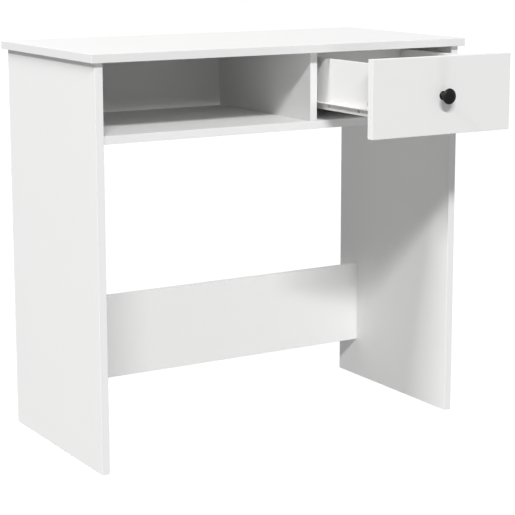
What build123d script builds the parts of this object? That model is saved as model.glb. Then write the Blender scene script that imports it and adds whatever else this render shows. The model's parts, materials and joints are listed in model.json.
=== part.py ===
from build123d import *
import os

# Writing desk in white faced board, with one drawer at the right and an open
# compartment beside it. Millimetres, +Z up, front towards -Y, left towards -X.
# The drawer is modelled part way open. The origin is on the floor, under the
# middle of the space that the desk fills with its drawer open like that.

# ---- Driving dimensions: carcass ----
desk_width = 800
desk_depth = 400
desk_height = 750
board = 15                     # thickness of every carcass board
top_overhang = 10              # tabletop beyond the side panels, all round
edge_round = 0.5               # softened board edges
shelf_top = 606                # upper face of the shelf, above the floor
shelf_depth = 332
shelf_to_back = 8              # slot between the shelf and the back panel
divider_left = 58              # left face of the divider
stretcher_bottom = 80
stretcher_height = 166
stretcher_inset = 50           # stretcher's rear face, ahead of the panels' rear edges

# ---- Driving dimensions: drawer ----
drawer_open = 179              # how far the drawer stands open as modelled
front_gap = 0.5                # shut drawer front to the shelf's edge
front_overlay = 10             # drawer front over the divider's edge
front_side_gap = 1.5           # drawer front to the right panel
front_top_gap = 1.5            # drawer front to the tabletop
front_bottom_gap = 0.5         # drawer front above the shelf's underside
box_board = 12                 # thickness of the drawer's sides and back
box_depth = 310
box_bottom = 628.5             # lower edge of the drawer's sides
box_height = 93.5
slide_gap = 12.5               # room for a slide, each side of the drawer
bottom_panel = 3
bottom_groove = 3.2
bottom_groove_depth = 5
bottom_groove_height = 10      # groove above the sides' lower edge
bottom_play = 0.1              # groove's floor to the bottom panel
bottom_tongue = 4.5            # bottom panel's edge, into the grooves

# ---- Driving dimensions: knob ----
knob_length = 23
knob_head_diameter = 29
knob_flange_diameter = 16.5
knob_waist_diameter = 9.5
knob_flange_edge = 1.6         # thickness of the flange at its rim
knob_waist_place = 7           # narrowest place, from the flange's face
knob_head_edge = 18            # widest place of the head, from the flange's face
knob_rim = 2.2                 # size of the curve under the head's rim
knob_crown_inset = 2.8         # start of the crown, in from the rim
knob_crown_drop = 1.5          # start of the crown, below the tip
knob_bore = 4.1
knob_bore_depth = 14

# ---- Driving dimensions: drawer slides, measured inward from the bay's wall ----
rail_length = 300
rail_steel = 1.2
channel_bottom = 613
channel_height = 22
channel_width = 10.5
channel_setback = 16           # channel's front end behind the shelf's edge
rail_top = 641                 # top of the running flange on the drawer
rail_flange_start = 2          # running flange's outer edge, from the bay's wall
rail_foot_width = 9            # foot flange under the drawer's side
roller_diameter = 18
roller_start = 2.6             # outer face of a roller, from the bay's wall
roller_width = 7.6
roller_bore = 4.1
axle_diameter = 4
axle_head_diameter = 7
axle_head = 0.5
front_roller_setback = 11      # front roller's centre behind the channel's front end
front_roller_height = 630.5
rear_roller_height = 623.5
rear_roller_inset = 8.5        # rear roller's centre ahead of the drawer rail's end
roller_relief = 26             # length without a top flange, over the front roller
tab_width = 17                 # tab that carries the rear roller
tab_drop = 11.3

# ---- Driving dimensions: fittings ----
cam_diameter = 15
cam_clearance = 0.1
cam_setback = 34               # cam's centre to the joint
cam_floor = 2.5                # board left under a cam pocket
cam_chamfer = 0.6
cam_slot = (7, 1.4, 1.5)       # length, width and depth of a cam's cross slot
box_cam_setback = 26           # the same as cam_setback, in the drawer
channel_bore = 8               # bore that a cam bolt runs in
bolt_thread = 6
bolt_thread_depth = 11
bolt_shank = 5.5
bolt_head = 7
bolt_neck = 3.6
bolt_collar = 7.6              # stop against the mating board
dowel_diameter = 8
box_dowel_diameter = 6
dowel_in_face = 10
dowel_in_edge = 20
fit_gap = 0.05                 # radial gap between a fitting and its hole
screw_head = 7.4
screw_shank = 3.4
screw_depth = 11               # cabinet rail screws, into the board
box_screw_depth = 9            # drawer rail screws, into the drawer's sides
recess_width = 0.9             # cross recess in a screw's head, and its depth
box_screw_length = 35
box_screw_shank = 4
confirmat_length = 50
confirmat_head = 9
confirmat_shank = 5
knob_screw_shank = 4
knob_screw_head = 9
knob_screw_head_depth = 2.2
knob_screw_in_knob = 11
knob_screw_recess = (4.6, 1, 1.2)    # length, width and depth of its cross recess

# ---- Positions that follow ----
front_reach = drawer_open + front_gap + knob_length - top_overhang
top_rear = (desk_depth + front_reach) / 2
top_front = top_rear - desk_depth
panel_front = top_front + top_overhang
panel_rear = top_rear - top_overhang
panel_top = desk_height - board
panel_inner = desk_width / 2 - top_overhang - board
panel_middle = panel_inner + board / 2
shelf_front = panel_front + board
shelf_rear = shelf_front + shelf_depth
shelf_middle = shelf_top - board / 2
back_front = shelf_rear + shelf_to_back
back_middle = back_front + board / 2
divider_right = divider_left + board
divider_middle = divider_left + board / 2
stretcher_front = panel_rear - stretcher_inset - board
stretcher_middle = stretcher_front + board / 2

front_rear_face = shelf_front - front_gap - drawer_open
front_face = front_rear_face - board
front_left = divider_right - front_overlay
front_right = panel_inner - front_side_gap
front_bottom = shelf_top - board + front_bottom_gap
front_top = panel_top - front_top_gap

box_left = divider_right + slide_gap
box_right = panel_inner - slide_gap
box_inner_left = box_left + box_board
box_inner_right = box_right - box_board
box_top = box_bottom + box_height
box_rear = front_rear_face + box_depth
groove_bottom = box_bottom + bottom_groove_height

channel_front = shelf_front + channel_setback
front_roller_y = channel_front + front_roller_setback
rear_roller_y = front_rear_face + rail_length - rear_roller_inset
rail_foot = box_bottom - rail_steel

left, right = Vector(-1, 0, 0), Vector(1, 0, 0)
front, rear = Vector(0, -1, 0), Vector(0, 1, 0)
down, up = Vector(0, 0, -1), Vector(0, 0, 1)


# ---- Boards and the holes in them ----
def make_board(low, high, rounding=edge_round):
    """A board with softened edges between two opposite corners, in the current part."""
    width, depth, height = (b - a for a, b in zip(low, high))
    with BuildSketch(Plane(((low[0] + high[0]) / 2, (low[1] + high[1]) / 2, low[2]))) as outline:
        Rectangle(width, depth)
    extrude(outline.sketch, amount=height)
    fillet(edges(), rounding)


def drill(points, opening, diameter, depth=None):
    """Round holes at these points; opening is the way each hole's mouth looks."""
    for point in points:
        with Locations(Plane(origin=point, z_dir=opening)):
            Hole(diameter / 2, depth=depth)


def countersink(points, opening, shank, head, depth=None):
    """Countersunk screw holes with their mouths at these points."""
    for point in points:
        with Locations(Plane(origin=point, z_dir=opening)):
            CounterSinkHole(shank / 2, head / 2, depth=depth, counter_sink_angle=90)


def grid(xs, ys, zs):
    """Every point with one of these x, one of these y and one of these z values."""
    return [Vector(x, y, z) for x in xs for y in ys for z in zs]


def cut_cams(centres, face, towards, thickness, setback=cam_setback):
    """Cam pockets let in from one face, and the bores that their bolts run in."""
    drill([c + face * thickness / 2 for c in centres], face, cam_diameter, thickness - cam_floor)
    drill([c + towards * setback for c in centres], towards, channel_bore, setback)


def cut_bolt_seats(centres, towards, setback=cam_setback):
    """Holes that the cam bolts are screwed into, in the mating board."""
    seats = [c + towards * setback for c in centres]
    drill(seats, -towards, bolt_thread + 2 * fit_gap, bolt_thread_depth)


def cut_dowels_in_edge(points, towards, diameter=dowel_diameter):
    """Dowel holes in the board that butts against the joint."""
    drill(points, towards, diameter + 2 * fit_gap, dowel_in_edge)


def cut_dowels_in_face(points, towards, diameter=dowel_diameter):
    """Dowel holes in the board that the joint is made against."""
    drill(points, -towards, diameter + 2 * fit_gap, dowel_in_face)


def cut_groove(low, high):
    """A straight groove between two opposite corners."""
    size = [b - a for a, b in zip(low, high)]
    with Locations(Vector(*low)):
        Box(*size, align=(Align.MIN, Align.MIN, Align.MIN), mode=Mode.SUBTRACT)


# ---- Solids of the fittings ----
def turn(points, origin, axis):
    """Turn a half outline of (radius, distance along the axis) points about the axis."""
    section = Plane(origin=origin, x_dir=side_of(axis), z_dir=side_of(axis).cross(axis))
    with BuildSketch(section) as half:
        with BuildLine():
            Polyline(*points, close=True)
        make_face()
    revolve(half.sketch, axis=Axis(origin, axis))


def side_of(axis):
    """A direction square to the axis."""
    return Vector(axis.Y, axis.Z, axis.X)


def make_cam(centre, face, towards, thickness):
    """A cam lock, cross-slotted on its face, with a bore for the bolt's head."""
    radius = cam_diameter / 2 - cam_clearance
    depth = thickness - cam_floor - cam_clearance
    mouth = centre + face * thickness / 2
    outline = [
        (0, -depth),
        (radius, -depth),
        (radius, -cam_chamfer),
        (radius - cam_chamfer, 0),
        (0, 0),
    ]
    turn(outline, mouth, face)
    drill([centre + towards * radius], towards, channel_bore, radius + bolt_head / 2)
    slot_length, slot_width, slot_depth = cam_slot
    across = side_of(face)
    for direction in (across, across.cross(face)):
        with BuildSketch(Plane(origin=mouth, x_dir=direction, z_dir=face)) as slot:
            Rectangle(slot_length, slot_width)
        extrude(slot.sketch, amount=-slot_depth, mode=Mode.SUBTRACT)


def make_cam_bolt(centre, towards, setback=cam_setback):
    """A cam bolt: head, neck, shank and collar in one board, and its thread in the mating board."""
    head, neck, shank = bolt_head / 2, bolt_neck / 2, bolt_shank / 2
    collar, thread = bolt_collar / 2, bolt_thread / 2
    tip = setback + bolt_thread_depth - 0.2
    outline = [
        (0, 0.5 - head),
        (head - 0.8, 0.5 - head),
        (head, 1.3 - head),
        (head, 1),
        (neck, 2.2),
        (neck, 6),
        (shank, 7.5),
        (shank, setback - 3),
        (collar, setback - 2),
        (collar, setback - 0.2),
        (thread, setback),
        (thread, tip - 1.3),
        (thread - 1, tip),
        (0, tip),
    ]
    turn(outline, centre, towards)


def make_dowel(point, towards, diameter=dowel_diameter):
    """A dowel with chamfered ends, across the joint."""
    radius = diameter / 2
    low, high = -dowel_in_edge + 0.3, dowel_in_face - 0.3
    outline = [
        (0, low),
        (radius - 1, low),
        (radius, low + 1),
        (radius, high - 1),
        (radius - 1, high),
        (0, high),
    ]
    turn(outline, point, towards)


def make_screw(mouth, opening, length, shank, head):
    """A countersunk screw whose head is flush with the mouth of its hole."""
    radius = shank / 2 - fit_gap
    outline = [
        (0, -0.1),
        (head / 2 - 0.2, -0.1),
        (radius, -(head - shank) / 2),
        (radius, -length + 2),
        (0.6, -length),
        (0, -length),
    ]
    turn(outline, mouth, opening)
    cross = side_of(opening)
    for direction in (cross, cross.cross(opening)):
        with BuildSketch(Plane(origin=mouth, x_dir=direction, z_dir=opening)) as recess:
            Rectangle(head * 0.55, recess_width)
        extrude(recess.sketch, amount=-recess_width, mode=Mode.SUBTRACT)


def save(part, name):
    """Label a finished piece and write it as its own node."""
    part.label = name
    export_step(part, f"parts/{name}.step")


os.makedirs("parts", exist_ok=True)

# ---- Where the fittings go ----
knob_place = Vector((front_left + front_right) / 2, front_face, (front_bottom + front_top) / 2)
panel_cam_ys = (panel_front + 50, panel_rear - 50)
panel_dowel_ys = (panel_front + 90, panel_rear - 90)
top_cams_left = grid([-panel_middle], panel_cam_ys, [panel_top - cam_setback])
top_cams_right = grid([panel_middle], panel_cam_ys, [panel_top - cam_setback])
top_dowels_left = grid([-panel_middle], panel_dowel_ys, [panel_top])
top_dowels_right = grid([panel_middle], panel_dowel_ys, [panel_top])

divider_length_middle = (shelf_front + shelf_rear) / 2
divider_cams = grid([divider_middle], [divider_length_middle], [panel_top - cam_setback])
divider_dowel_ys = (shelf_front + 45, shelf_rear - 45)
divider_dowels = grid([divider_middle], divider_dowel_ys, [panel_top])
divider_screw_ys = (shelf_front + 75, shelf_rear - 45)
divider_screws = grid([divider_middle], divider_screw_ys, [shelf_top - board])

shelf_cam_ys = (shelf_front + 45, shelf_rear - 45)
shelf_dowel_ys = (shelf_front + 85, shelf_rear - 85)
shelf_cams_left = grid([-panel_inner + cam_setback], shelf_cam_ys, [shelf_middle])
shelf_cams_right = grid([panel_inner - cam_setback], shelf_cam_ys, [shelf_middle])
shelf_dowels_left = grid([-panel_inner], shelf_dowel_ys, [shelf_middle])
shelf_dowels_right = grid([panel_inner], shelf_dowel_ys, [shelf_middle])

back_bottom = shelf_top - board
back_cam_zs = (back_bottom + 30, panel_top - 30)
back_cams_left = grid([-panel_inner + cam_setback], [back_middle], back_cam_zs)
back_cams_right = grid([panel_inner - cam_setback], [back_middle], back_cam_zs)
back_dowel_z = (back_bottom + panel_top) / 2
back_dowels_left = grid([-panel_inner], [back_middle], [back_dowel_z])
back_dowels_right = grid([panel_inner], [back_middle], [back_dowel_z])

stretcher_top = stretcher_bottom + stretcher_height
stretcher_cam_zs = (stretcher_bottom + 40, stretcher_top - 40)
stretcher_cams_left = grid([-panel_inner + cam_setback], [stretcher_middle], stretcher_cam_zs)
stretcher_cams_right = grid([panel_inner - cam_setback], [stretcher_middle], stretcher_cam_zs)
stretcher_dowel_z = (stretcher_bottom + stretcher_top) / 2
stretcher_dowels_left = grid([-panel_inner], [stretcher_middle], [stretcher_dowel_z])
stretcher_dowels_right = grid([panel_inner], [stretcher_middle], [stretcher_dowel_z])

box_fixing_y = front_rear_face + box_cam_setback
box_side_middles = (box_left + box_board / 2, box_right - box_board / 2)
box_cams = grid(box_side_middles, [box_fixing_y], [box_bottom + 21])
box_dowels = grid(box_side_middles, [front_rear_face], [box_top - 25])
box_screw_zs = (box_bottom + 35, box_top - 17)
box_screws_left = grid([box_left], [box_rear - box_board / 2], box_screw_zs)
box_screws_right = grid([box_right], [box_rear - box_board / 2], box_screw_zs)

channel_screw_ys = (channel_front + 40, channel_front + 150, channel_front + 262)
channel_middle = channel_bottom + channel_height / 2
channel_screws_left = grid([divider_right], channel_screw_ys, [channel_middle])
channel_screws_right = grid([panel_inner], channel_screw_ys, [channel_middle])
rail_screw_ys = (front_rear_face + 59, front_rear_face + 155, front_rear_face + 250)
rail_screw_height = (rail_foot + rail_top) / 2
# A rail screw's countersink narrows through the steel, and ends in the board.
pilot_head = screw_head - 2 * rail_steel

# ---- Carcass ----
with BuildPart() as tabletop:
    make_board((-desk_width / 2, top_front, panel_top), (desk_width / 2, top_rear, desk_height))
    cut_bolt_seats(top_cams_left + top_cams_right + divider_cams, up)
    cut_dowels_in_face(top_dowels_left + top_dowels_right + divider_dowels, up)
save(tabletop.part, "tabletop")

with BuildPart() as left_side_panel:
    make_board((-panel_inner - board, panel_front, 0), (-panel_inner, panel_rear, panel_top))
    cut_cams(top_cams_left, right, up, board)
    cut_dowels_in_edge(top_dowels_left, up)
    cut_bolt_seats(shelf_cams_left + back_cams_left + stretcher_cams_left, left)
    cut_dowels_in_face(shelf_dowels_left + back_dowels_left + stretcher_dowels_left, left)
save(left_side_panel.part, "left_side_panel")

with BuildPart() as right_side_panel:
    make_board((panel_inner, panel_front, 0), (panel_inner + board, panel_rear, panel_top))
    cut_cams(top_cams_right, left, up, board)
    cut_dowels_in_edge(top_dowels_right, up)
    cut_bolt_seats(shelf_cams_right + back_cams_right + stretcher_cams_right, right)
    cut_dowels_in_face(shelf_dowels_right + back_dowels_right + stretcher_dowels_right, right)
    countersink(channel_screws_right, left, screw_shank, pilot_head, screw_depth)
save(right_side_panel.part, "right_side_panel")

with BuildPart() as shelf_board:
    make_board((-panel_inner, shelf_front, shelf_top - board), (panel_inner, shelf_rear, shelf_top))
    cut_cams(shelf_cams_left, down, left, board)
    cut_cams(shelf_cams_right, down, right, board)
    cut_dowels_in_edge(shelf_dowels_left, left)
    cut_dowels_in_edge(shelf_dowels_right, right)
    countersink(divider_screws, down, confirmat_shank, confirmat_head)
save(shelf_board.part, "shelf_board")

with BuildPart() as divider_panel:
    make_board((divider_left, shelf_front, shelf_top), (divider_right, back_front, panel_top))
    cut_cams(divider_cams, right, up, board)
    cut_dowels_in_edge(divider_dowels, up)
    drill([p + up * board for p in divider_screws], down, confirmat_shank, confirmat_length - board + 1)
    countersink(channel_screws_left, right, screw_shank, pilot_head, screw_depth)
save(divider_panel.part, "divider_panel")

with BuildPart() as back_panel:
    make_board((-panel_inner, back_front, back_bottom), (panel_inner, back_front + board, panel_top))
    cut_cams(back_cams_left, rear, left, board)
    cut_cams(back_cams_right, rear, right, board)
    cut_dowels_in_edge(back_dowels_left, left)
    cut_dowels_in_edge(back_dowels_right, right)
save(back_panel.part, "back_panel")

with BuildPart() as stretcher_panel:
    make_board(
        (-panel_inner, stretcher_front, stretcher_bottom),
        (panel_inner, stretcher_front + board, stretcher_top),
    )
    cut_cams(stretcher_cams_left, rear, left, board)
    cut_cams(stretcher_cams_right, rear, right, board)
    cut_dowels_in_edge(stretcher_dowels_left, left)
    cut_dowels_in_edge(stretcher_dowels_right, right)
save(stretcher_panel.part, "stretcher_panel")

# ---- Carcass fittings, each kind one group of separate solids ----
carcass_cam_groups = (
    (top_cams_left, right, up),
    (top_cams_right, left, up),
    (divider_cams, right, up),
    (shelf_cams_left, down, left),
    (shelf_cams_right, down, right),
    (back_cams_left, rear, left),
    (back_cams_right, rear, right),
    (stretcher_cams_left, rear, left),
    (stretcher_cams_right, rear, right),
)

with BuildPart() as cam_locks:
    for centres, face, towards in carcass_cam_groups:
        for centre in centres:
            make_cam(centre, face, towards, board)
save(cam_locks.part, "cam_locks")

with BuildPart() as cam_bolts:
    for centres, face, towards in carcass_cam_groups:
        for centre in centres:
            make_cam_bolt(centre, towards)
save(cam_bolts.part, "cam_bolts")

with BuildPart() as wooden_dowels:
    for point in top_dowels_left + top_dowels_right + divider_dowels:
        make_dowel(point, up)
    for point in shelf_dowels_left + back_dowels_left + stretcher_dowels_left:
        make_dowel(point, left)
    for point in shelf_dowels_right + back_dowels_right + stretcher_dowels_right:
        make_dowel(point, right)
save(wooden_dowels.part, "wooden_dowels")

with BuildPart() as divider_fixing_screws:
    for mouth in divider_screws:
        make_screw(mouth, down, confirmat_length, confirmat_shank, confirmat_head)
save(divider_fixing_screws.part, "divider_screws")

# ---- Drawer ----
with BuildPart() as drawer_front:
    make_board((front_left, front_face, front_bottom), (front_right, front_rear_face, front_top))
    cut_bolt_seats(box_cams, front, box_cam_setback)
    cut_dowels_in_face(box_dowels, front, box_dowel_diameter)
    cut_groove(
        (box_inner_left - bottom_groove_depth, front_rear_face - bottom_groove_depth, groove_bottom),
        (box_inner_right + bottom_groove_depth, front_rear_face, groove_bottom + bottom_groove),
    )
    drill([knob_place], front, knob_screw_shank + 0.6)
save(drawer_front.part, "drawer_front")


def make_drawer_side(outer, inward, cams, dowels, screws):
    """One side of the drawer; outer is its face at the slide, inward points into the drawer."""
    inner = outer + inward.X * box_board
    groove_end = inner - inward.X * bottom_groove_depth
    make_board(
        (min(outer, inner), front_rear_face, box_bottom),
        (max(outer, inner), box_rear, box_top),
        edge_round / 2,
    )
    cut_cams(cams, -inward, front, box_board, box_cam_setback)
    cut_dowels_in_edge(dowels, front, box_dowel_diameter)
    cut_groove(
        (min(inner, groove_end), front_rear_face, groove_bottom),
        (max(inner, groove_end), box_rear, groove_bottom + bottom_groove),
    )
    countersink(screws, -inward, box_screw_shank, screw_head)
    rail_screws = grid([outer], rail_screw_ys, [rail_screw_height])
    countersink(rail_screws, -inward, screw_shank, pilot_head, box_screw_depth)


with BuildPart() as drawer_left_side:
    make_drawer_side(box_left, right, box_cams[:1], box_dowels[:1], box_screws_left)
save(drawer_left_side.part, "drawer_left_side")

with BuildPart() as drawer_right_side:
    make_drawer_side(box_right, left, box_cams[1:], box_dowels[1:], box_screws_right)
save(drawer_right_side.part, "drawer_right_side")

with BuildPart() as drawer_back:
    make_board(
        (box_inner_left, box_rear - box_board, box_bottom),
        (box_inner_right, box_rear, box_top),
        edge_round / 2,
    )
    cut_groove(
        (box_inner_left, box_rear - box_board, groove_bottom),
        (box_inner_right, box_rear - box_board + bottom_groove_depth, groove_bottom + bottom_groove),
    )
    for screws, opening in ((box_screws_left, left), (box_screws_right, right)):
        mouths = [p - opening * box_board for p in screws]
        drill(mouths, opening, box_screw_shank, box_screw_length - box_board + 1)
save(drawer_back.part, "drawer_back")

with BuildPart() as drawer_bottom:
    underside = groove_bottom + bottom_play
    box_back_face = box_rear - box_board
    make_board(
        (box_inner_left - bottom_tongue, front_rear_face - bottom_tongue, underside),
        (box_inner_right + bottom_tongue, box_back_face + bottom_tongue, underside + bottom_panel),
        edge_round / 2,
    )
save(drawer_bottom.part, "drawer_bottom")

with BuildPart() as drawer_knob:
    flange = knob_flange_diameter / 2
    rim = knob_head_diameter / 2
    under_rim = (rim - knob_rim, knob_head_edge - knob_rim)
    crown_start = (rim - knob_crown_inset, knob_length - knob_crown_drop)
    rising, closing = (1, 0.55), (-1, 0.42)
    with BuildSketch(Plane(origin=knob_place, x_dir=right, z_dir=down)):
        with BuildLine():
            Line((0, 0), (flange, 0))
            Line((flange, 0), (flange, knob_flange_edge))
            Spline(
                (flange, knob_flange_edge),
                (knob_waist_diameter / 2, knob_waist_place),
                under_rim,
                tangents=[(-1, 0.35), rising],
            )
            Spline(under_rim, (rim, knob_head_edge + 0.6), crown_start, tangents=[rising, closing])
            Spline(crown_start, (0, knob_length), tangents=[closing, (-1, 0)])
            Line((0, knob_length), (0, 0))
        make_face()
    revolve(axis=Axis(knob_place, front))
    drill([knob_place], rear, knob_bore, knob_bore_depth)
save(drawer_knob.part, "drawer_knob")

with BuildPart() as knob_screw:
    shank = knob_screw_shank / 2
    head = knob_screw_head / 2
    reach = board + knob_screw_in_knob
    seat = knob_place + rear * board
    crown = seat + rear * knob_screw_head_depth
    outline = [
        (0, -reach),
        (shank - 0.5, -reach),
        (shank, -reach + 0.5),
        (shank, 0),
        (head, 0),
        (head, 0.8),
        (head * 0.6, knob_screw_head_depth),
        (0, knob_screw_head_depth),
    ]
    turn(outline, seat, rear)
    recess_length, recess_breadth, recess_depth = knob_screw_recess
    for direction in (right, up):
        with BuildSketch(Plane(origin=crown, x_dir=direction, z_dir=rear)) as recess:
            Rectangle(recess_length, recess_breadth)
        extrude(recess.sketch, amount=-recess_depth, mode=Mode.SUBTRACT)
save(knob_screw.part, "knob_screw")

# ---- Drawer fittings ----
with BuildPart() as drawer_cam_locks:
    make_cam(box_cams[0], left, front, box_board)
    make_cam(box_cams[1], right, front, box_board)
save(drawer_cam_locks.part, "drawer_cam_locks")

with BuildPart() as drawer_cam_bolts:
    for centre in box_cams:
        make_cam_bolt(centre, front, box_cam_setback)
save(drawer_cam_bolts.part, "drawer_cam_bolts")

with BuildPart() as drawer_dowels:
    for point in box_dowels:
        make_dowel(point, front, box_dowel_diameter)
save(drawer_dowels.part, "drawer_dowels")

with BuildPart() as drawer_box_screws:
    for screws, opening in ((box_screws_left, left), (box_screws_right, right)):
        for mouth in screws:
            make_screw(mouth, opening, box_screw_length, box_screw_shank, screw_head)
save(drawer_box_screws.part, "drawer_box_screws")


# ---- Drawer slides ----
def slide_outline(wall, inward, points, start, length):
    """Extrude a steel section rearwards; points are (distance from the bay's wall, height)."""
    with BuildSketch(Plane(origin=(0, start, 0), x_dir=right, z_dir=front)) as section:
        with BuildLine():
            Polyline(*[(wall + inward.X * distance, height) for distance, height in points], close=True)
        make_face()
    extrude(section.sketch, amount=-length)


def cut_slide(wall, inward, low, high):
    """Cut a block out of a slide; corners are (distance from the wall, y, height)."""
    ends = sorted((wall + inward.X * low[0], wall + inward.X * high[0]))
    cut_groove((ends[0], low[1], low[2]), (ends[1], high[1], high[2]))


def make_cabinet_rail(wall, inward):
    """A channel on the bay's wall, open at the top over its front roller."""
    top = channel_bottom + channel_height
    outline = [
        (0, channel_bottom),
        (channel_width, channel_bottom),
        (channel_width, channel_bottom + rail_steel),
        (rail_steel, channel_bottom + rail_steel),
        (rail_steel, top - rail_steel),
        (channel_width, top - rail_steel),
        (channel_width, top),
        (0, top),
    ]
    slide_outline(wall, inward, outline, channel_front, rail_length)
    cut_slide(
        wall,
        inward,
        (rail_steel, channel_front - 1, top - rail_steel - 1),
        (channel_width + 1, channel_front + roller_relief, top + 1),
    )
    face = wall + inward.X * rail_steel
    screws = grid([face], channel_screw_ys, [channel_middle])
    countersink(screws, inward, screw_shank, screw_head)
    drill([Vector(face, front_roller_y, front_roller_height)], inward, axle_diameter + 2 * fit_gap)


def make_drawer_rail(wall, inward):
    """A rail under the drawer's side: running flange at the top, foot at the bottom, roller tab behind."""
    web = slide_gap - rail_steel
    outline = [
        (rail_flange_start, rail_top - rail_steel),
        (web, rail_top - rail_steel),
        (web, rail_foot),
        (slide_gap + rail_foot_width, rail_foot),
        (slide_gap + rail_foot_width, box_bottom),
        (slide_gap, box_bottom),
        (slide_gap, rail_top),
        (rail_flange_start, rail_top),
    ]
    slide_outline(wall, inward, outline, front_rear_face, rail_length)
    rail_end = front_rear_face + rail_length
    cut_slide(
        wall,
        inward,
        (slide_gap, rail_end - tab_width - 3, rail_foot - 1),
        (slide_gap + rail_foot_width + 1, rail_end + 1, box_bottom),
    )
    tab = [
        (web, rail_foot - tab_drop),
        (slide_gap, rail_foot - tab_drop),
        (slide_gap, box_bottom),
        (web, box_bottom),
    ]
    slide_outline(wall, inward, tab, rail_end - tab_width, tab_width)
    face = wall + inward.X * web
    screws = grid([face], rail_screw_ys, [rail_screw_height])
    countersink(screws, -inward, screw_shank, screw_head)
    drill([Vector(face, rear_roller_y, rear_roller_height)], -inward, axle_diameter + 2 * fit_gap)


def make_roller(wall, inward, y, height):
    """A nylon roller with a dished outer face and a plain bore."""
    radius = roller_diameter / 2
    outline = [
        (roller_bore / 2, 0),
        (radius - 5, 0),
        (radius - 4.4, 0.8),
        (radius - 1.6, 0.8),
        (radius - 1.2, 0),
        (radius - 0.5, 0),
        (radius, 0.5),
        (radius, roller_width - 0.5),
        (radius - 0.5, roller_width),
        (roller_bore / 2, roller_width),
    ]
    turn(outline, Vector(wall + inward.X * roller_start, y, height), inward)


def make_front_axle(wall, inward):
    """A rivet that holds the front roller on the cabinet rail."""
    shank, head, collar = axle_diameter / 2, axle_head_diameter / 2, axle_diameter / 2 + 1
    end = roller_start + roller_width + 0.2
    outline = [
        (0, 0),
        (shank, 0),
        (shank, rail_steel),
        (collar, rail_steel),
        (collar, roller_start - 0.2),
        (shank, roller_start - 0.2),
        (shank, end),
        (head, end),
        (head - 0.3, end + axle_head),
        (0, end + axle_head),
    ]
    turn(outline, Vector(wall, front_roller_y, front_roller_height), inward)


def make_rear_axle(wall, inward):
    """A rivet that holds the rear roller on the drawer rail's tab."""
    shank, head, collar = axle_diameter / 2, axle_head_diameter / 2, axle_diameter / 2 + 1
    start = roller_start - 0.2 - axle_head
    web = slide_gap - rail_steel
    outline = [
        (0, start),
        (head - 0.3, start),
        (head, start + axle_head),
        (shank, start + axle_head),
        (shank, roller_start + roller_width + 0.2),
        (collar, roller_start + roller_width + 0.2),
        (collar, web),
        (shank, web),
        (shank, slide_gap),
        (head, slide_gap),
        (head - 0.5, slide_gap + 1.2),
        (0, slide_gap + 1.2),
    ]
    turn(outline, Vector(wall, rear_roller_y, rear_roller_height), inward)


bay_sides = (("left", divider_right, right), ("right", panel_inner, left))
for side_name, wall, inward in bay_sides:
    with BuildPart() as cabinet_rail:
        make_cabinet_rail(wall, inward)
    save(cabinet_rail.part, f"{side_name}_cabinet_rail")

    with BuildPart() as drawer_rail:
        make_drawer_rail(wall, inward)
    save(drawer_rail.part, f"{side_name}_drawer_rail")

    with BuildPart() as front_roller:
        make_roller(wall, inward, front_roller_y, front_roller_height)
    save(front_roller.part, f"{side_name}_front_roller")

    with BuildPart() as rear_roller:
        make_roller(wall, inward, rear_roller_y, rear_roller_height)
    save(rear_roller.part, f"{side_name}_rear_roller")

with BuildPart() as front_roller_axles:
    for side_name, wall, inward in bay_sides:
        make_front_axle(wall, inward)
save(front_roller_axles.part, "front_roller_axles")

with BuildPart() as rear_roller_axles:
    for side_name, wall, inward in bay_sides:
        make_rear_axle(wall, inward)
save(rear_roller_axles.part, "rear_roller_axles")

with BuildPart() as cabinet_rail_screws:
    for side_name, wall, inward in bay_sides:
        for mouth in grid([wall + inward.X * rail_steel], channel_screw_ys, [channel_middle]):
            make_screw(mouth, inward, screw_depth, screw_shank, screw_head)
save(cabinet_rail_screws.part, "cabinet_rail_screws")

with BuildPart() as drawer_rail_screws:
    for side_name, wall, inward in bay_sides:
        web_face = wall + inward.X * (slide_gap - rail_steel)
        for mouth in grid([web_face], rail_screw_ys, [rail_screw_height]):
            make_screw(mouth, -inward, box_screw_depth, screw_shank, screw_head)
save(drawer_rail_screws.part, "drawer_rail_screws")
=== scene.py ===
import bpy
import json
import math
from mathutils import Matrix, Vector


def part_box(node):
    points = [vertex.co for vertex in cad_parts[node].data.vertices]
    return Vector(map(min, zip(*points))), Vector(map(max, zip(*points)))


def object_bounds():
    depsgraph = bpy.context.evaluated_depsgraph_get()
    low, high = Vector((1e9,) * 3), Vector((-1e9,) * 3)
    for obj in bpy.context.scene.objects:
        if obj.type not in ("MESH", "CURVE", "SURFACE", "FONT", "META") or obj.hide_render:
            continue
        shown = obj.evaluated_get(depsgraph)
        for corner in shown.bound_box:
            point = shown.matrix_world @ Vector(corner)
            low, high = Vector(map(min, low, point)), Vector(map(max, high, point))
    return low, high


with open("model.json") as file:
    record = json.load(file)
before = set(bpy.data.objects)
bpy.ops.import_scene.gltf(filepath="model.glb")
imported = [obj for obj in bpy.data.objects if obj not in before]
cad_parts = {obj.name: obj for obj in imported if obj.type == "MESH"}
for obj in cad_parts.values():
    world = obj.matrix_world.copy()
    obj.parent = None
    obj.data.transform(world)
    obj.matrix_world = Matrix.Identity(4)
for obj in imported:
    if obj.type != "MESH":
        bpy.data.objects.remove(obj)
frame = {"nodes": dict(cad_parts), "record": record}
cad_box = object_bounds()

# A white writing desk with one drawer and an open compartment. The CAD nodes make
# every shape. This script gives them their surfaces, and adds the light, the floor
# and the camera. Lengths are in metres.

# ---- Camera: from the desk's left front, a little above it ----
CAMERA_PLACE = (-1.592, -2.625, 0.967)
CAMERA_HEADING = 31.45      # degrees from +Y towards +X
CAMERA_DIP = 10.3           # degrees below the horizon
CAMERA_LENS = 114.2         # millimetres, on a 36 mm sensor
CAMERA_SHIFT = (-0.02, -0.07)

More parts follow.
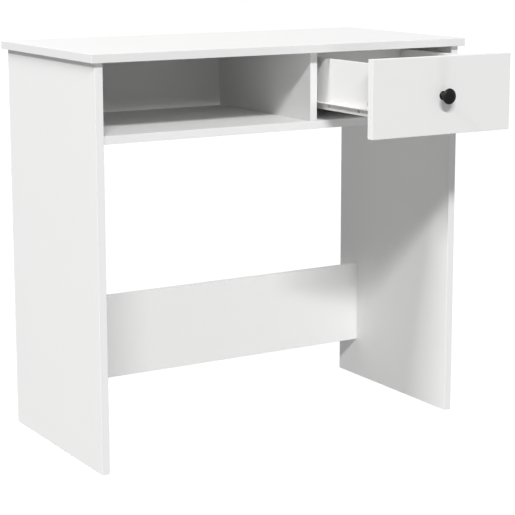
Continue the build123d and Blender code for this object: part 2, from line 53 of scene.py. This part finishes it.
# ---- Light ----
SKY_STRENGTH = 0.35         # even light from all round
# Soft panels that face the desk: name, way to the panel, metres away, width, height, power.
PANELS = (
    ("strip", (-0.46, -1, 0.865), 33, 12.4, 1.2, 8240),
    ("side", (-1, -0.085, 0.88), 30, 4.6, 4.3, 5350),
    ("floor_bounce", (0, -0.32, -0.95), 12, 3, 3, 260),
    ("right_fill", (1, 0.15, 0.1), 12, 4, 3, 420),
    ("rear_fill", (0.08, 1, 0.3), 12, 3, 3, 380),
)
FLOOR_GLOW = 0.94           # what the floor gives off by itself
FLOOR_TINT = 0.1            # and what it reflects, which keeps the shadow on it faint
FLOOR_SIZE = 30


# ---- Colours ----
def grey(level):
    return (level, level, level, 1)


def warm(level, amount):
    """A grey with less blue by this amount, and with 0.3 of that less green."""
    return (level, level * (1 - amount * 0.3), level * (1 - amount), 1)


# ---- Surfaces ----
BAND_WIDTH = 0.0009         # edge banding, as seen on a board's face
SEAM_WIDTH = 0.00022        # dark line between the banding and the face
FACE_SKIN = 0.0004          # melamine face, over the particle board
CORE_DEPTH = 0.00064        # from here on only raw board shows
CHIP_SCALE = 700.0          # chips of the particle board, to the metre
BOARD_GLOSS = 0.12          # specular level of the boards
KNOB_GLOSS = 0.22           # and of the knob
KNOB_WEAR = 0.93            # where its worn rim starts, as a share of its radius
# How pale each board is, as reflected light. The tabletop is set darker and the shelf board paler
# than the other white boards, as painted shade on the top and painted light on the shelf.
CARCASS_LEVEL = 0.83
PAINTED_LIGHT_BOARD_LEVELS = {"tabletop": 0.775, "shelf_board": 0.855}
DRAWER_BOX_LEVEL = 0.775
HARDBOARD_LEVEL = 0.80
SEAM_COLOUR = warm(0.42, 0.25)
CHIP_COLOURS = ((0.30, 0.20, 0.11, 1), (0.58, 0.44, 0.28, 1))
METALS = {
    "rivet_steel": {"level": 0.62, "smoothest": 0.25, "roughest": 0.4, "scratch_scale": 900},
    "cam_zinc": {
        "level": 0.46, "smoothest": 0.38, "roughest": 0.6, "scratch_scale": 500, "dark": 0.6,
    },
    "screw_steel": {"level": 0.6, "smoothest": 0.22, "roughest": 0.38, "scratch_scale": 1200},
}
BEECH_COLOURS = ((0.50, 0.33, 0.18, 1), (0.68, 0.50, 0.32, 1))
BEECH_FLECK = (0.28, 0.16, 0.08, 1)


# ---- Shader nodes ----
class Shader:
    """A new material, and short calls that add nodes to it and join them up."""

    def __init__(self, name):
        self.material = bpy.data.materials.new(name)
        self.material.use_nodes = True
        self.tree = self.material.node_tree
        self.surface = self.tree.nodes["Principled BSDF"]
        self.place = self.add("ShaderNodeTexCoord", {}, "Object")

    def add(self, kind, inputs, output=0, **settings):
        """A node with these settings; an input is a number, a tuple or another node's output."""
        node = self.tree.nodes.new(kind)
        for key, value in settings.items():
            setattr(node, key, value)
        for key, value in inputs.items():
            self.join(node.inputs[key], value)
        return node.outputs[output]

    def join(self, socket, value):
        """Set a socket to a value, or link it to another node's output."""
        if isinstance(value, bpy.types.NodeSocket):
            self.tree.links.new(value, socket)
        else:
            socket.default_value = value

    def math(self, operation, a, b=0.0, c=0.0):
        return self.add("ShaderNodeMath", {0: a, 1: b, 2: c}, operation=operation)

    def share(self, value, amount):
        """The value times the amount."""
        return self.math("MULTIPLY", value, amount)

    def vector(self, operation, a, b):
        return self.add("ShaderNodeVectorMath", {0: a, 1: b}, operation=operation)

    def parts(self, vector):
        """The three parts of a vector or a colour."""
        node = self.tree.nodes.new("ShaderNodeSeparateXYZ")
        self.join(node.inputs[0], vector)
        return list(node.outputs)

    def stretched(self, scales):
        """The place, stretched along each axis."""
        return self.vector("MULTIPLY", self.place, scales)

    def noise(self, scale, detail=3.0, roughness=0.5, at=None):
        return self.add(
            "ShaderNodeTexNoise",
            {"Vector": at or self.place, "Scale": scale, "Detail": detail, "Roughness": roughness},
        )

    def ramp(self, value, low, high, start=0.0, end=1.0):
        """The value, moved smoothly from start to end as it goes from low to high."""
        inputs = {"Value": value, "From Min": low, "From Max": high, "To Min": start, "To Max": end}
        return self.add("ShaderNodeMapRange", inputs, interpolation_type="SMOOTHSTEP")

    def mix(self, factor, a, b):
        """Colour a, turning into colour b. The node has other sockets for other kinds of value."""
        node = self.tree.nodes.new("ShaderNodeMix")
        node.data_type = "RGBA"
        for index, value in ((0, factor), (6, a), (7, b)):
            self.join(node.inputs[index], value)
        return node.outputs[2]

    def bump(self, height, distance, strength, under=None):
        """A relief of this height, laid over the relief under it."""
        inputs = {"Height": height, "Distance": distance, "Strength": strength}
        if under is not None:
            inputs["Normal"] = under
        return self.add("ShaderNodeBump", inputs)

    def set(self, **inputs):
        """Set or join inputs of the surface, with underscores for spaces in their names."""
        for key, value in inputs.items():
            self.join(self.surface.inputs[key.replace("_", " ")], value)


# ---- Materials ----
def board_material(node, level):
    """White faced particle board: pearled faces, banded edges, raw chips where it is cut."""
    shader = Shader(f"board_{node}")
    low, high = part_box(node)
    middle, half = (low + high) / 2, (high - low) / 2
    thickness = min(range(3), key=lambda axis: half[axis])
    offset = shader.vector("SUBTRACT", shader.place, tuple(middle))
    reach = shader.vector("SUBTRACT", tuple(half), shader.vector("ABSOLUTE", offset, (0, 0, 0)))
    depths = shader.parts(reach)
    along = [depths[axis] for axis in range(3) if axis != thickness]
    from_edge = shader.math("MINIMUM", along[0], along[1])
    depth = shader.math("MINIMUM", from_edge, depths[thickness])

    band = shader.ramp(from_edge, BAND_WIDTH, BAND_WIDTH - SEAM_WIDTH)
    seam_distance = shader.math("ABSOLUTE", shader.math("SUBTRACT", from_edge, BAND_WIDTH))
    seam = shader.ramp(seam_distance, SEAM_WIDTH, 0.0)
    core = shader.ramp(depth, FACE_SKIN, CORE_DEPTH)

    clouds = shader.noise(scale=5, detail=4)
    speckle = shader.noise(scale=1400, detail=2)
    scuffs = shader.noise(scale=60, detail=5, roughness=0.65, at=shader.stretched((1, 1, 0.25)))
    pearl = shader.noise(scale=850, detail=3, roughness=0.6)
    wave = shader.noise(scale=14, detail=2)
    voronoi = {"Vector": shader.place, "Scale": CHIP_SCALE}
    chips = shader.add("ShaderNodeTexVoronoi", voronoi, "Color")

    clean = shader.mix(clouds, grey(level - 0.012), warm(level + 0.006, 0.012))
    face = shader.mix(shader.share(speckle, 0.12), clean, grey(level - 0.05))
    banded = shader.mix(shader.share(band, 0.7), face, grey(level + 0.008))
    seamed = shader.mix(shader.share(seam, 0.12), banded, SEAM_COLOUR)
    chip_tint = shader.mix(shader.parts(chips)[0], *CHIP_COLOURS)
    colour = shader.mix(core, seamed, chip_tint)

    matt = shader.ramp(scuffs, 0.3, 0.75, start=0.5, end=0.62)
    smoother_band = shader.math("ADD", matt, shader.share(band, -0.08))
    roughness = shader.math("ADD", smoother_band, shader.share(core, 0.4))
    textured = shader.bump(pearl, distance=0.00003, strength=0.55)
    waved = shader.bump(wave, distance=0.0002, strength=0.2, under=textured)
    seam_dip = shader.bump(seam, distance=-0.00008, strength=0.6, under=waved)
    cut_chips = shader.share(core, speckle)
    normal = shader.bump(cut_chips, distance=0.0003, strength=0.8, under=seam_dip)
    shader.set(
        Base_Color=colour,
        Roughness=roughness,
        Normal=normal,
        Specular_IOR_Level=BOARD_GLOSS,
    )
    return shader.material


def hardboard_material(node, level):
    """Thin white hardboard, with a faint fibre under the paint."""
    shader = Shader(f"hardboard_{node}")
    fibre = shader.noise(scale=240, detail=6, roughness=0.7, at=shader.stretched((1, 0.35, 1)))
    clouds = shader.noise(scale=7)
    clean = shader.mix(clouds, grey(level - 0.015), warm(level + 0.005, 0.02))
    colour = shader.mix(shader.share(fibre, 0.15), clean, grey(level - 0.06))
    shader.set(
        Base_Color=colour,
        Roughness=shader.ramp(fibre, 0.3, 0.7, start=0.48, end=0.6),
        Normal=shader.bump(fibre, distance=0.00005, strength=0.5),
    )
    return shader.material


def knob_material(node):
    """Satin black powder coat, with a little wear round the rim."""
    shader = Shader("knob_black")
    low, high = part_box(node)
    offset = shader.vector("SUBTRACT", shader.place, tuple((low + high) / 2))
    flat = shader.vector("MULTIPLY", offset, (1, 0, 1))
    from_axis = shader.add("ShaderNodeVectorMath", {0: flat}, "Value", operation="LENGTH")
    rim_radius = (high.x - low.x) / 2
    rim = shader.ramp(from_axis, rim_radius * KNOB_WEAR, rim_radius)
    grain = shader.noise(scale=2600, roughness=0.6)
    patches = shader.noise(scale=160, detail=4, roughness=0.6)
    worn = shader.share(rim, shader.ramp(patches, 0.5, 0.75, end=0.5))
    base = shader.mix(patches, grey(0.008), grey(0.013))
    shader.set(
        Base_Color=shader.mix(worn, base, grey(0.05)),
        Roughness=shader.ramp(patches, 0.3, 0.7, start=0.4, end=0.5),
        Normal=shader.bump(grain, distance=0.00004, strength=0.5),
        Specular_IOR_Level=KNOB_GLOSS,
    )
    return shader.material


def coated_steel_material():
    """Off-white epoxy powder coat, with an orange-peel skin."""
    shader = Shader("rail_coat")
    peel = shader.noise(scale=520, detail=2)
    fine = shader.noise(scale=1900)
    clouds = shader.noise(scale=25)
    peeled = shader.bump(peel, distance=0.00006, strength=0.5)
    shader.set(
        Base_Color=shader.mix(clouds, warm(0.72, 0.05), warm(0.76, 0.03)),
        Roughness=shader.ramp(fine, 0.3, 0.7, start=0.3, end=0.4),
        Normal=shader.bump(fine, distance=0.00002, strength=0.4, under=peeled),
    )
    return shader.material


def nylon_material():
    """Moulded nylon, milky, with faint turning marks."""
    shader = Shader("roller_nylon")
    marks = shader.noise(scale=900, at=shader.stretched((3, 1, 1)))
    haze = shader.noise(scale=120)
    shader.set(
        Base_Color=shader.mix(haze, warm(0.66, 0.05), warm(0.72, 0.03)),
        Roughness=shader.ramp(marks, 0.3, 0.7, start=0.35, end=0.5),
        Normal=shader.bump(marks, distance=0.00003, strength=0.5),
        Subsurface_Weight=0.15,
        Subsurface_Radius=(0.002, 0.002, 0.002),
    )
    return shader.material


def metal_material(name, level, smoothest, roughest, scratch_scale, dark=0.7):
    """Plated or cast metal: fine scratches, and clouds down to a dark share of its level."""
    shader = Shader(name)
    scratches = shader.noise(scratch_scale, detail=6, roughness=0.7, at=shader.stretched((1, 1, 5)))
    clouds = shader.noise(scale=180, detail=4, roughness=0.6)
    colour = shader.mix(shader.ramp(clouds, 0.35, 0.7), grey(level * dark), grey(level))
    shader.set(
        Base_Color=colour,
        Metallic=1.0,
        Roughness=shader.ramp(scratches, 0.3, 0.7, start=smoothest, end=roughest),
        Normal=shader.bump(scratches, distance=0.00003, strength=0.5),
    )
    return shader.material


def beech_material():
    """Plain beech, with short dark flecks along the grain."""
    shader = Shader("dowel_beech")
    grain = shader.noise(scale=900, detail=5, roughness=0.65, at=shader.stretched((1, 1, 0.12)))
    flecks = shader.noise(scale=2200, detail=2, at=shader.stretched((1, 1, 0.2)))
    wood = shader.mix(grain, *BEECH_COLOURS)
    shader.set(
        Base_Color=shader.mix(shader.ramp(flecks, 0.62, 0.7, end=0.5), wood, BEECH_FLECK),
        Roughness=0.65,
        Normal=shader.bump(grain, distance=0.00008, strength=0.6),
    )
    return shader.material


def floor_material():
    """A pale, even floor that takes only a faint shadow."""
    shader = Shader("pale_floor")
    shader.set(
        Base_Color=grey(FLOOR_TINT),
        Roughness=0.9,
        Specular_IOR_Level=0.0,
        Emission_Color=grey(1.0),
        Emission_Strength=FLOOR_GLOW,
    )
    return shader.material


def dress(node, material):
    """Give a CAD node its material."""
    mesh = frame["nodes"][node].data
    mesh.materials.clear()
    mesh.materials.append(material)


def dress_desk():
    """A material of its own for each board, and one for each of the other slots."""
    shared = {
        "rail_white": coated_steel_material(),
        "roller_nylon": nylon_material(),
        **{name: metal_material(name, **look) for name, look in METALS.items()},
        "dowel_beech": beech_material(),
        "knob_black": knob_material("drawer_knob"),
    }
    for part in frame["record"]["subparts"]:
        node, slot = part["node"], part["material_slot"]
        if slot == "white_board":
            # The tabletop and the shelf board take levels with painted shade and painted light in
            # them.
            dress(node, board_material(node, PAINTED_LIGHT_BOARD_LEVELS.get(node, CARCASS_LEVEL)))
        elif slot == "drawer_board":
            dress(node, board_material(node, DRAWER_BOX_LEVEL))
        elif slot == "drawer_base":
            dress(node, hardboard_material(node, HARDBOARD_LEVEL))
        else:
            dress(node, shared[slot])


# ---- Stage ----
def make_camera():
    camera = bpy.data.objects.new("camera", bpy.data.cameras.new("camera"))
    bpy.context.scene.collection.objects.link(camera)
    camera.location = CAMERA_PLACE
    camera.rotation_euler = (math.radians(90 - CAMERA_DIP), 0, -math.radians(CAMERA_HEADING))
    camera.data.lens = CAMERA_LENS
    camera.data.shift_x, camera.data.shift_y = CAMERA_SHIFT
    bpy.context.scene.camera = camera


def make_panel(name, towards, distance, width, height, power):
    """A rectangular light, level along its width, that faces the desk's middle."""
    data = bpy.data.lights.new(name, "AREA")
    data.shape = "RECTANGLE"
    data.size, data.size_y = width, height
    data.energy = power
    light = bpy.data.objects.new(name, data)
    bpy.context.scene.collection.objects.link(light)
    way = Vector(towards).normalized()
    light.location = (cad_box[0] + cad_box[1]) / 2 + way * distance
    light.rotation_euler = way.to_track_quat("Z", "Y").to_euler()


def make_sky():
    """White to the camera, a weaker even light on the desk."""
    world = bpy.data.worlds.new("sky")
    bpy.context.scene.world = world
    world.use_nodes = True
    tree = world.node_tree
    background = tree.nodes["Background"]
    background.inputs["Color"].default_value = grey(1.0)
    path = tree.nodes.new("ShaderNodeLightPath")
    level = tree.nodes.new("ShaderNodeMapRange")
    level.inputs["To Min"].default_value = SKY_STRENGTH
    level.inputs["To Max"].default_value = 1.0
    tree.links.new(path.outputs["Is Camera Ray"], level.inputs["Value"])
    tree.links.new(level.outputs["Result"], background.inputs["Strength"])


def make_floor():
    """A wide floor that the camera sees, and that doesn't light the desk or show in its gloss."""
    half = FLOOR_SIZE / 2
    mesh = bpy.data.meshes.new("floor")
    corners = [(-half, -half, 0), (half, -half, 0), (half, half, 0), (-half, half, 0)]
    mesh.from_pydata(corners, [], [(0, 1, 2, 3)])
    mesh.materials.append(floor_material())
    floor = bpy.data.objects.new("floor", mesh)
    bpy.context.scene.collection.objects.link(floor)
    floor.location.z = cad_box[0].z
    floor.visible_diffuse = False
    floor.visible_glossy = False
    floor.visible_shadow = False


def set_view_transform():
    bpy.context.scene.view_settings.view_transform = "Standard"


dress_desk()
make_camera()
for panel in PANELS:
    make_panel(*panel)
make_sky()
make_floor()
set_view_transform()
